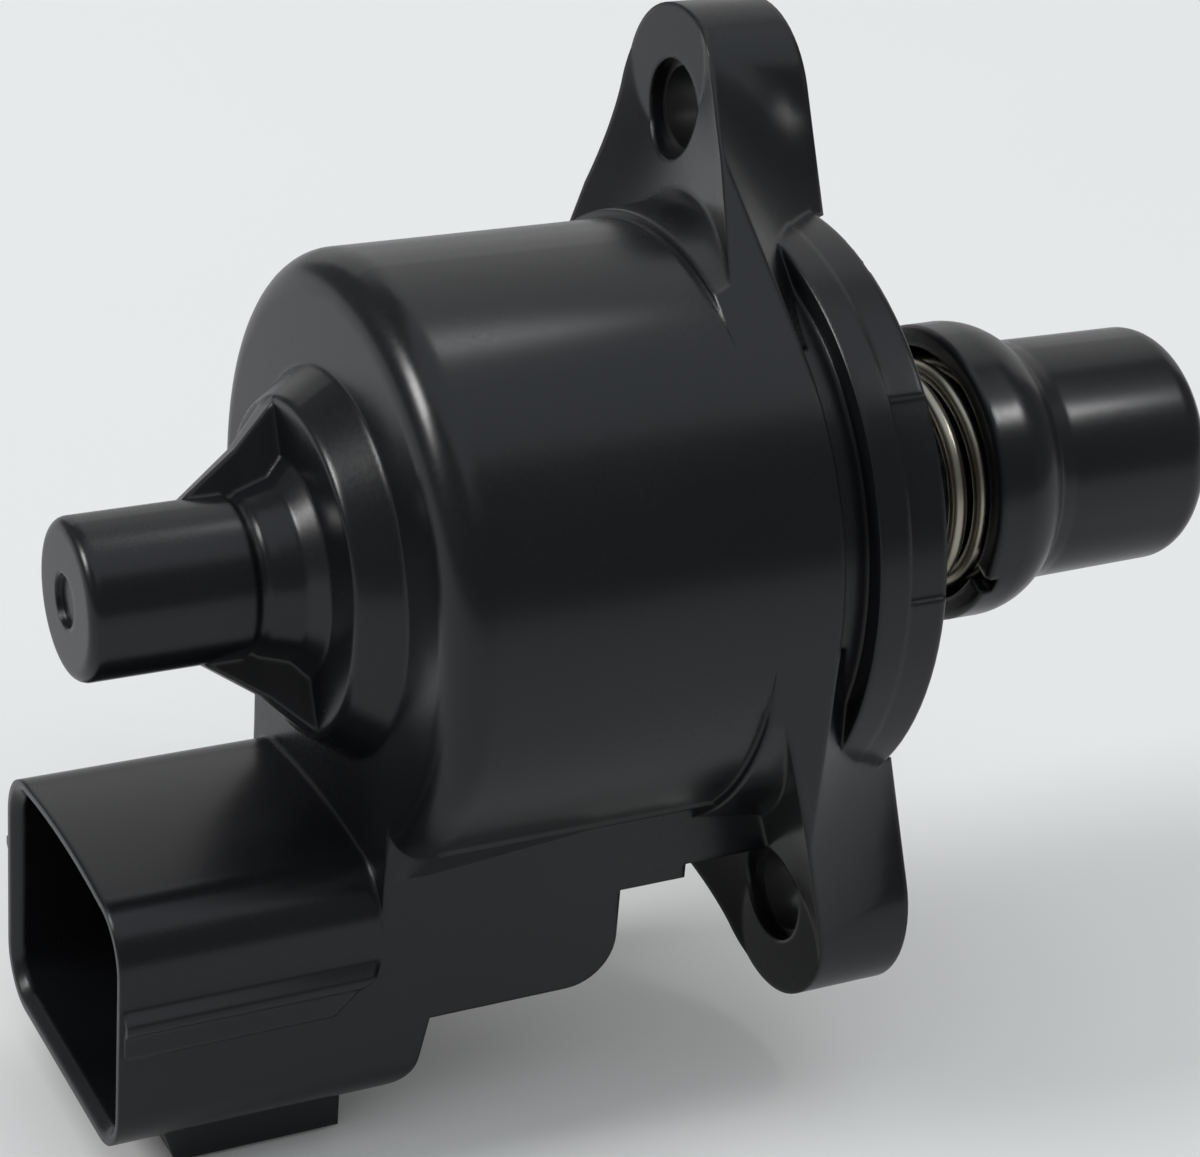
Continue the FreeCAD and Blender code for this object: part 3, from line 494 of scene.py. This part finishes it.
def make_lead_screw(material):
    """The lead screw: a rolled trapezoid thread behind and two flats in front."""
    core = bar(SCREW_ROOT, SCREW_TAIL_X, THREAD_END_X, 48)
    bevel_edges(core, SCREW_TAIL_BEVEL)
    nose = bar(SCREW_RADIUS, THREAD_END_X, SCREW_NOSE_X, 64)
    cut_flat(nose, SCREW_FLAT)
    cut_flat(nose, -SCREW_FLAT)
    bevel_edges(nose, SCREW_FLAT_BEVEL)
    clear_selection()
    bpy.ops.mesh.primitive_plane_add(size=1 * MM)
    thread = bpy.context.object
    bpy.ops.object.mode_set(mode="EDIT")
    bpy.ops.mesh.select_all(action="SELECT")
    height = SCREW_RADIUS - SCREW_ROOT + THREAD_SINK
    bpy.ops.transform.resize(value=(THREAD_FOOT, height, 1))
    bpy.ops.transform.translate(value=(0, (SCREW_RADIUS - height / 2) * MM, 0))
    bpy.ops.mesh.delete(type="ONLY_FACE")
    bpy.ops.mesh.select_all(action="DESELECT")
    bpy.ops.object.mode_set(mode="OBJECT")
    for vertex in thread.data.vertices:
        vertex.select = vertex.co.y > (SCREW_RADIUS - height / 2) * MM
    bpy.ops.object.mode_set(mode="EDIT")
    bpy.ops.transform.resize(value=(THREAD_CREST, 1, 1))
    bpy.ops.object.mode_set(mode="OBJECT")
    start_x = SCREW_TAIL_X + THREAD_LEAD_IN
    thread.location = (start_x * MM, 0, 0)
    run = THREAD_END_X - start_x - THREAD_RUN_OUT
    wind(thread, run / SCREW_LEAD, run, 48)
    close_ends(thread)
    screw = settle(join([core, nose, thread]), "threaded_screw", material)
    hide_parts("lead_screw")
    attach(screw, "plunger_unit")


def make_winding(name, start_x, end_x, material):
    """The outer layer of wire on one reel, laid turn against turn."""
    profile = round_profile(start_x, WIRE_LAY, WIRE_RADIUS, WIRE_SIDES)
    run = end_x - start_x
    layer = wind(profile, run / (2 * WIRE_RADIUS), run, WIRE_STEPS)
    close_ends(layer)
    settle(layer, name, material, 60)
    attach(layer, "valve_body")


def add_camera():
    """The photograph's own view."""
    data = bpy.data.cameras.new("camera")
    data.lens = CAMERA_LENS
    data.sensor_width = CAMERA_SENSOR
    data.clip_start = CAMERA_NEAR
    data.clip_end = CAMERA_FAR
    camera = bpy.data.objects.new("camera", data)
    bpy.context.scene.collection.objects.link(camera)
    right = CAMERA_RIGHT.normalized()
    down = (CAMERA_DOWN - right * CAMERA_DOWN.dot(right)).normalized()
    ahead = right.cross(down)
    turn = Matrix((right, -down, -ahead)).transposed()
    camera.matrix_world = Matrix.Translation(CAMERA_PLACE) @ turn.to_4x4()
    bpy.context.scene.camera = camera


def add_lamp(name, place, aim, size, radiance, colour=(1, 1, 1), beam=180):
    """A soft rectangular lamp turned towards a point, as bright as given straight ahead of it.

    A beam under 180 degrees is kept narrow by a grid on the lamp.
    """
    data = bpy.data.lights.new(name, "AREA")
    data.shape = "RECTANGLE"
    data.size, data.size_y = size
    data.energy = math.pi * radiance * size[0] * size[1]
    if beam < 180:
        half = math.radians(beam) / 2
        data.spread = 2 * half
        data.energy *= 1 - half / math.tan(half)    # the grid's light is gathered ahead
    data.color = colour
    lamp = bpy.data.objects.new(name, data)
    bpy.context.scene.collection.objects.link(lamp)
    lamp.location = place
    lamp.rotation_euler = (Vector(aim) - Vector(place)).to_track_quat("-Z", "Y").to_euler()
    lamp.visible_camera = False


def add_studio():
    """Pale floor, lamps, and a pale room that the camera sees whole and the object in part."""
    bpy.ops.mesh.primitive_plane_add(size=FLOOR_SIZE, location=(0, 0, cad_low.z - FLOOR_DROP))
    floor = bpy.context.object
    floor.name = "floor"
    shader = new_shader("floor_paper")
    light_paper = tuple(part * FLOOR_CLOUD_GAIN for part in FLOOR_COLOUR[:3]) + (1,)
    paper = shader.mix(shader.noise(FLOOR_CLOUD_SIZE, 2.0), FLOOR_COLOUR, light_paper)
    seen = shader.mix(shader.seen_share(FLOOR_GLOSS), FLOOR_BOUNCE, paper)
    shader.set(base_color=seen, roughness=0.9)
    floor.data.materials.append(shader.owner)

    bpy.context.scene.world = bpy.data.worlds.new("studio")
    room = Shader(bpy.context.scene.world)
    bright = room.tree.nodes["Background"]
    room.put(bright.inputs["Color"], ROOM_COLOUR)
    dim = room.node("ShaderNodeBackground", {}, {"Color": ROOM_COLOUR, "Strength": ROOM_LIGHT})
    share = room.seen_share(ROOM_GLOSS, ROOM_MATT)
    both = room.node("ShaderNodeMixShader", {}, {0: share, 1: dim.outputs[0], 2: bright.outputs[0]})
    room.put(room.tree.nodes["World Output"].inputs["Surface"], both.outputs[0])

    add_lamp("backdrop", (0.68, 1.22, 0.60), (0, 0, 0.03), (2.4, 1.24), 0.45)
    add_lamp("high_window", (0.60, 0.84, 1.24), (0, 0, 0), (1.0, 0.28), 0.5)
    add_lamp("ceiling", (0.10, -0.20, 1.50), (0, 0, 0), (1.9, 1.9), 0.56, (0.82, 0.92, 1.0))
    add_lamp("left_window", (-2.00, 0.43, 1.46), (0, 0, 0), (0.71, 0.75), 18.0, beam=100)
    # Two small lamps with grids stand close in. The first lights the nose. The second is aimed
    # past the can at the tail, and most of what it adds shows on the top of the can.
    add_lamp("nose_strip", (0.060, -0.037, 0.072), (0.02, 0, 0), (0.018, 0.012), 22.0, beam=50)
    add_lamp("tail_strip", (0.0285, 0.036, 0.155), (-0.045, 0, 0.006), (0.035, 0.03), 7.0, beam=18)


finish_nodes()
add_camera()
add_studio()
bpy.context.scene.view_settings.view_transform = "Standard"
